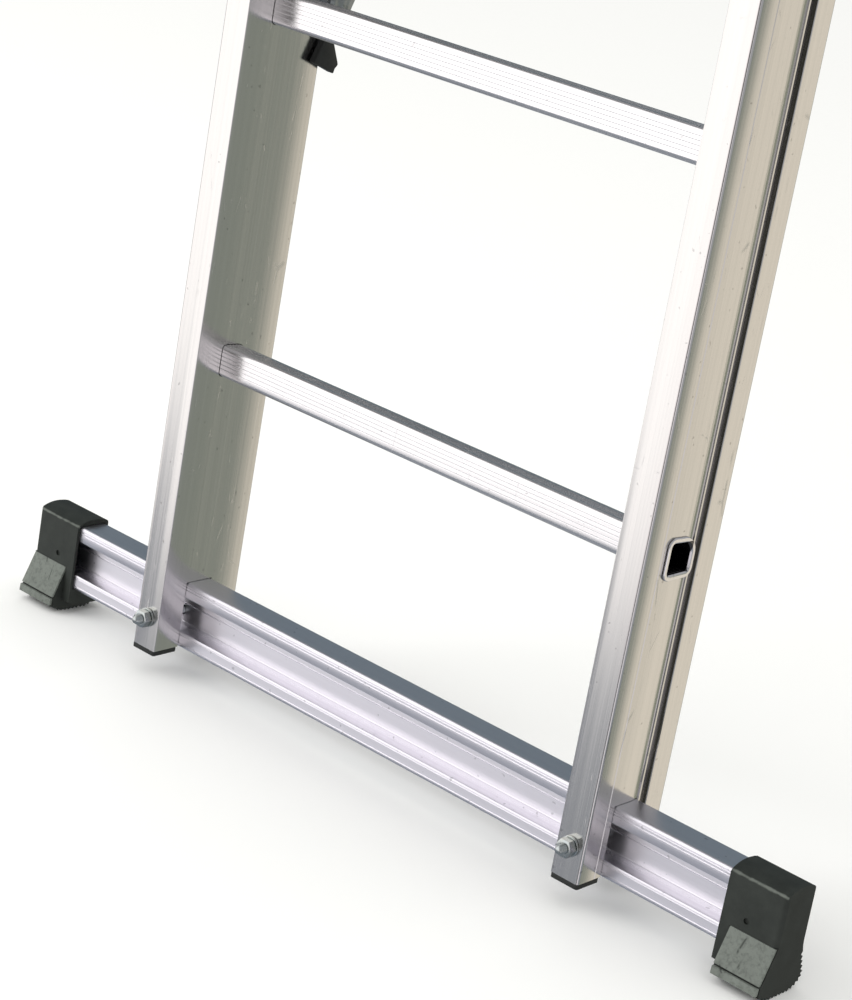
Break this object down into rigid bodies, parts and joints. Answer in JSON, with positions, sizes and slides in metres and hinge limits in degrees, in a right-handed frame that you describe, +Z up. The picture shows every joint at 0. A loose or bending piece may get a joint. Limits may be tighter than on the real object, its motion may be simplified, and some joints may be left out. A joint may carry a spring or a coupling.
{
  "type": "extension ladder",
  "caption": "Two-section aluminium extension ladder on a wide stabiliser bar with rubber shoes; the fly section slides up behind the base and hooks onto its rungs.",
  "frame": {"origin": "on the ground, under the middle of the ladder's width and of its depth from bolt tips to wall caps", "axes": "+Z up along the stiles, +X to the climber's right, -Y towards the climber, +Y towards the wall"},
  "size_m": [0.78, 0.169, 2.6415],
  "materials": {
    "extruded_aluminium": "mill finish, brushed along its length",
    "ribbed_rung_aluminium": "mill finish, ribbed along its length",
    "zinc_plated_steel": "bright zinc plate",
    "galvanised_steel": "pressed steel plate, galvanised",
    "black_rubber": "moulded, matte",
    "grey_tread_rubber": "moulded, matte, scuffed",
    "black_plastic": "moulded, matte"
  },
  "bodies": {
    "base": {"bar_bolt_left": "zinc_plated_steel", "bar_bolt_right": "zinc_plated_steel", "bar_nut_left": "zinc_plated_steel", "bar_nut_right": "zinc_plated_steel", "base_rung_1": "ribbed_rung_aluminium", "base_rung_2": "ribbed_rung_aluminium", "base_rung_3": "ribbed_rung_aluminium", "base_rung_4": "ribbed_rung_aluminium", "base_rung_5": "ribbed_rung_aluminium", "base_rung_6": "ribbed_rung_aluminium", "base_rung_7": "ribbed_rung_aluminium", "base_rung_8": "ribbed_rung_aluminium", "base_stile_left": "extruded_aluminium", "base_stile_right": "extruded_aluminium", "base_top_cap_left": "black_plastic", "base_top_cap_right": "black_plastic", "front_washer_left": "zinc_plated_steel", "front_washer_right": "zinc_plated_steel", "heel_cap_left": "black_plastic", "heel_cap_right": "black_plastic", "rear_washer_left": "zinc_plated_steel", "rear_washer_right": "zinc_plated_steel", "shoe_left": "black_rubber", "shoe_right": "black_rubber", "stabiliser_bar": "extruded_aluminium", "toe_cap_left": "black_plastic", "toe_cap_right": "black_plastic", "travel_stop_left": "black_plastic", "travel_stop_right": "black_plastic", "tread_pad_left": "grey_tread_rubber", "tread_pad_right": "grey_tread_rubber", "upper_guide_left": "galvanised_steel", "upper_guide_right": "galvanised_steel"},
    "fly": {"fly_foot_cap_left": "black_plastic", "fly_foot_cap_right": "black_plastic", "fly_rung_1": "ribbed_rung_aluminium", "fly_rung_2": "ribbed_rung_aluminium", "fly_rung_3": "ribbed_rung_aluminium", "fly_rung_4": "ribbed_rung_aluminium", "fly_rung_5": "ribbed_rung_aluminium", "fly_rung_6": "ribbed_rung_aluminium", "fly_rung_7": "ribbed_rung_aluminium", "fly_stile_left": "extruded_aluminium", "fly_stile_right": "extruded_aluminium", "hook_bracket_left": "galvanised_steel", "hook_bracket_right": "galvanised_steel", "hook_pin_left": "zinc_plated_steel", "hook_pin_right": "zinc_plated_steel", "lock_pin_left": "zinc_plated_steel", "lock_pin_right": "zinc_plated_steel", "lower_guide_left": "galvanised_steel", "lower_guide_right": "galvanised_steel", "wall_cap_left": "black_rubber", "wall_cap_right": "black_rubber"},
    "hook_left": {"rung_hook_left": "galvanised_steel"},
    "hook_right": {"rung_hook_right": "galvanised_steel"},
    "lock_left": {"lift_lock_left": "black_plastic"},
    "lock_right": {"lift_lock_right": "black_plastic"}
  },
  "joints": [
    {"name": "fly_slide", "type": "slide", "parent": "base", "child": "fly", "axis": [0, 0, 1], "range_m": [0, 1.12]},
    {"name": "hook_left_swing", "type": "hinge", "parent": "fly", "child": "hook_left", "pos_m": [-0.2065, 0.0305, 0.595], "axis": [-1, 0, 0], "range_deg": [0, 95]},
    {"name": "hook_right_swing", "type": "hinge", "parent": "fly", "child": "hook_right", "pos_m": [0.2065, 0.0305, 0.595], "axis": [-1, 0, 0], "range_deg": [0, 95]},
    {"name": "lock_left_swing", "type": "hinge", "parent": "fly", "child": "lock_left", "pos_m": [-0.2065, 0.0145, 0.543], "axis": [-1, 0, 0], "range_deg": [-60, 40]},
    {"name": "lock_right_swing", "type": "hinge", "parent": "fly", "child": "lock_right", "pos_m": [0.2065, 0.0145, 0.543], "axis": [-1, 0, 0], "range_deg": [-60, 40]}
  ]
}
